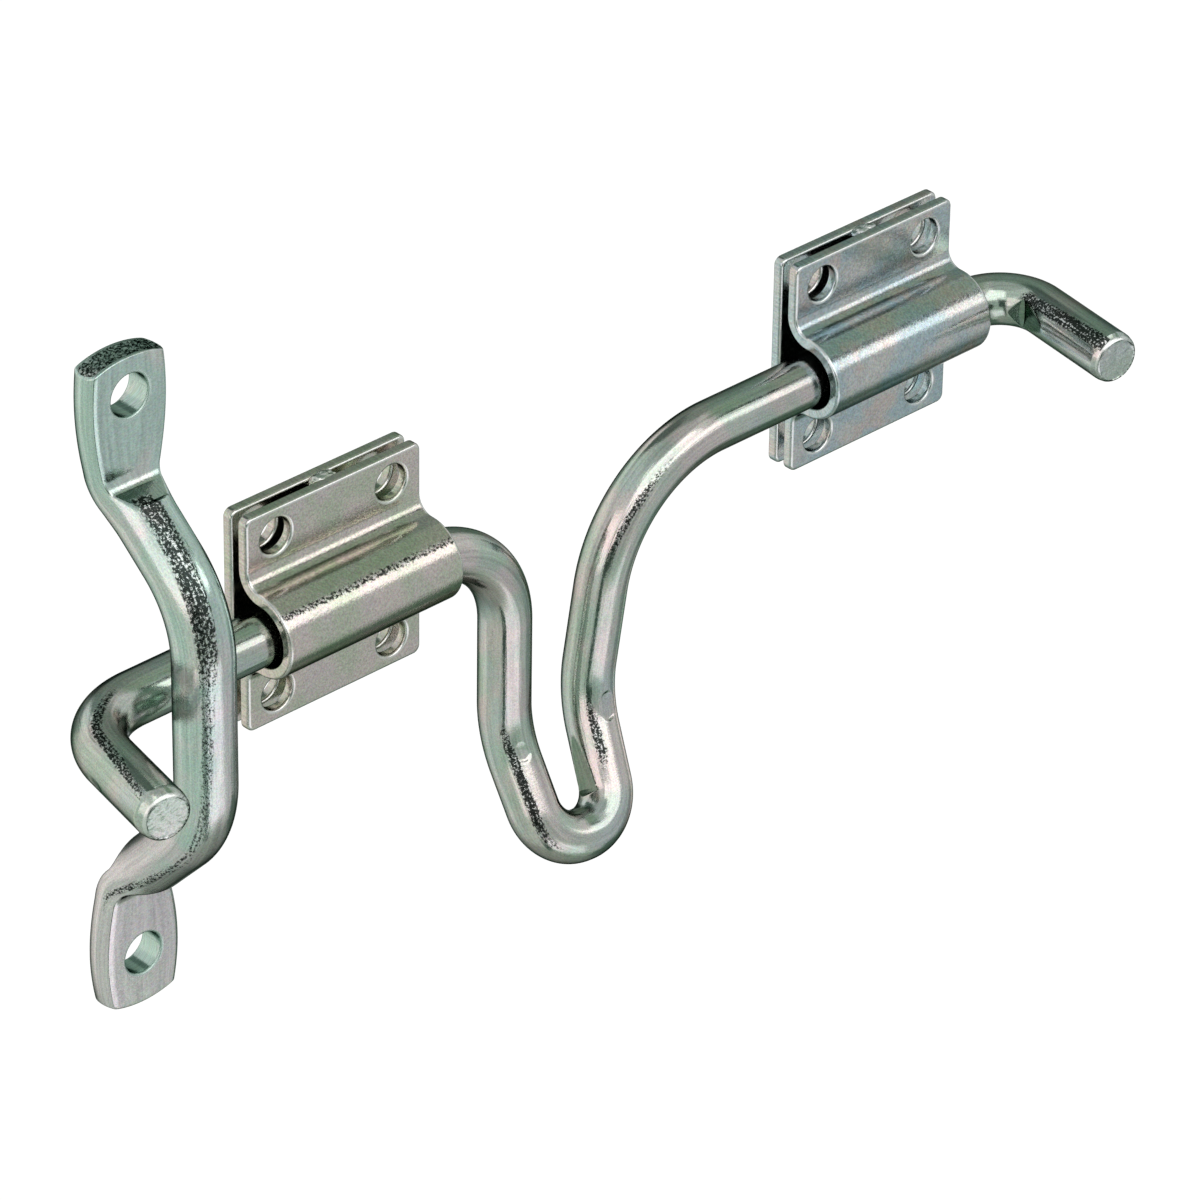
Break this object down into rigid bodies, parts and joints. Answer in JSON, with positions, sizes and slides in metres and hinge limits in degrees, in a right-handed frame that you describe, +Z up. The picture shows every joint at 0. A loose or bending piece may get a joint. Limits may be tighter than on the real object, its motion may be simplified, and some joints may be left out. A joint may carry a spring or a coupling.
{
  "type": "sliding bolt latch",
  "caption": "Round rod bolt with a looped drop handle that turns and slides in plated guides; its hooked nose catches behind a bent strike rod with flattened, pierced ends.",
  "frame": {"origin": "middle of the left guide's four holes, on the back of its back plate, which lies on the door face", "axes": "+X along the bolt from its hooked nose towards its tail, +Y into the door face, +Z up"},
  "size_m": [0.3087, 0.0542, 0.1696],
  "materials": {
    "back_plate": "bright zinc plate on sheet steel, with a soft grey-green cast and paler rounded edges",
    "guide": "bright zinc plate on formed sheet steel, clouded pink, yellow and green",
    "weld": "small fused weld beads under zinc plate",
    "strike_rod": "bright zinc plate with a blue-green cast, drawn streaks along the rod and a mottled grey band at the upper bend",
    "bolt_rod": "bright zinc plate with long drawn streaks and dark press marks at the bends"
  },
  "bodies": {
    "mounting": {"left_back_plate": "back_plate", "left_guide": "guide", "left_tack_welds": "weld", "right_back_plate": "back_plate", "right_guide": "guide", "right_tack_welds": "weld", "strike": "strike_rod"},
    "slider": {"bolt_journal": "bolt_rod"},
    "bolt": {"bolt_nose": "bolt_rod", "bolt_handle": "bolt_rod"}
  },
  "joints": [
    {"name": "bolt_slide", "type": "slide", "parent": "mounting", "child": "slider", "axis": [1, 0, 0], "range_m": [0, 0.011]},
    {"name": "bolt_turn", "type": "hinge", "parent": "slider", "child": "bolt", "pos_m": [0, -0.01168, -0.00068], "axis": [-1, 0, 0], "range_deg": [0, 95]}
  ]
}
